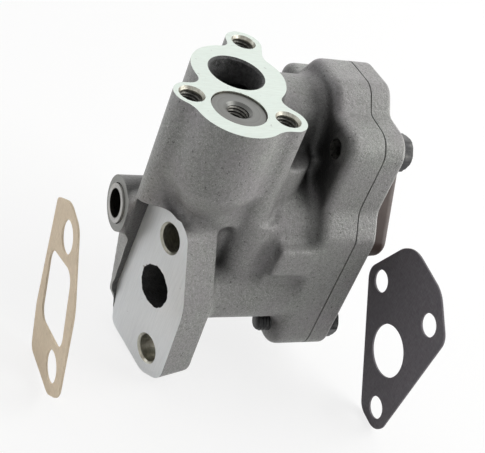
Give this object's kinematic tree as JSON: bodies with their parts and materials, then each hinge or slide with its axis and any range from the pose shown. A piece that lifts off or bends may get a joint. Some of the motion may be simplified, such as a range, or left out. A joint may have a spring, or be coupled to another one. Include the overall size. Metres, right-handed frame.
{
  "type": "engine oil pump",
  "caption": "Cast iron rotor oil pump with a slanted block flange, pickup pad with relief valve, bolted cover with a smooth cap, hollow hex drive shaft, and its loose gaskets.",
  "frame": {"origin": "centre of the drive socket's mouth, at the open end of the drive shaft", "axes": "+X along the shaft towards the cover, +Z out of the pickup pad"},
  "size_m": [0.1303, 0.1122, 0.1192],
  "materials": {
    "casting": "sand cast, fine grain, ground faces",
    "bronze": "turned",
    "steel": "turned",
    "sintered_steel": "ground",
    "cap_steel": "smooth dull coat",
    "black_steel": "black oxide",
    "spring_steel": "drawn wire",
    "gasket_paper": "pressed fibre sheet",
    "gasket_black": "coated fibre sheet"
  },
  "bodies": {
    "pump": {"pump_body": "casting", "shaft_bush": "bronze", "cover_plate": "casting", "cover_cap": "cap_steel", "upper_bolts": "black_steel", "lower_bolts": "black_steel", "cover_dowels": "steel", "relief_plug": "steel", "relief_spring": "spring_steel", "gallery_ball": "steel", "flange_gasket": "gasket_paper", "pickup_gasket": "gasket_black"},
    "drive": {"drive_shaft": "steel", "rotor_pin": "steel", "inner_rotor": "sintered_steel"},
    "outer": {"outer_rotor": "sintered_steel"},
    "plunger": {"relief_plunger": "steel"}
  },
  "joints": [
    {"name": "shaft_spin", "type": "hinge", "parent": "pump", "child": "drive", "pos_m": [0, 0, 0], "axis": [1, 0, 0], "continuous": true},
    {"name": "outer_spin", "type": "hinge", "parent": "pump", "child": "outer", "pos_m": [0.07, -0.0032, 0], "axis": [1, 0, 0], "continuous": true},
    {"name": "relief_slide", "type": "slide", "parent": "pump", "child": "plunger", "axis": [0, 0, 1], "range_m": [0, 0.008], "stiffness_N_per_m": 6000, "springref_m": -0.005, "deforming": ["relief_spring"]}
  ],
  "couplings": [
    {"joint": "outer_spin", "follows": "shaft_spin", "ratio": 0.8}
  ]
}
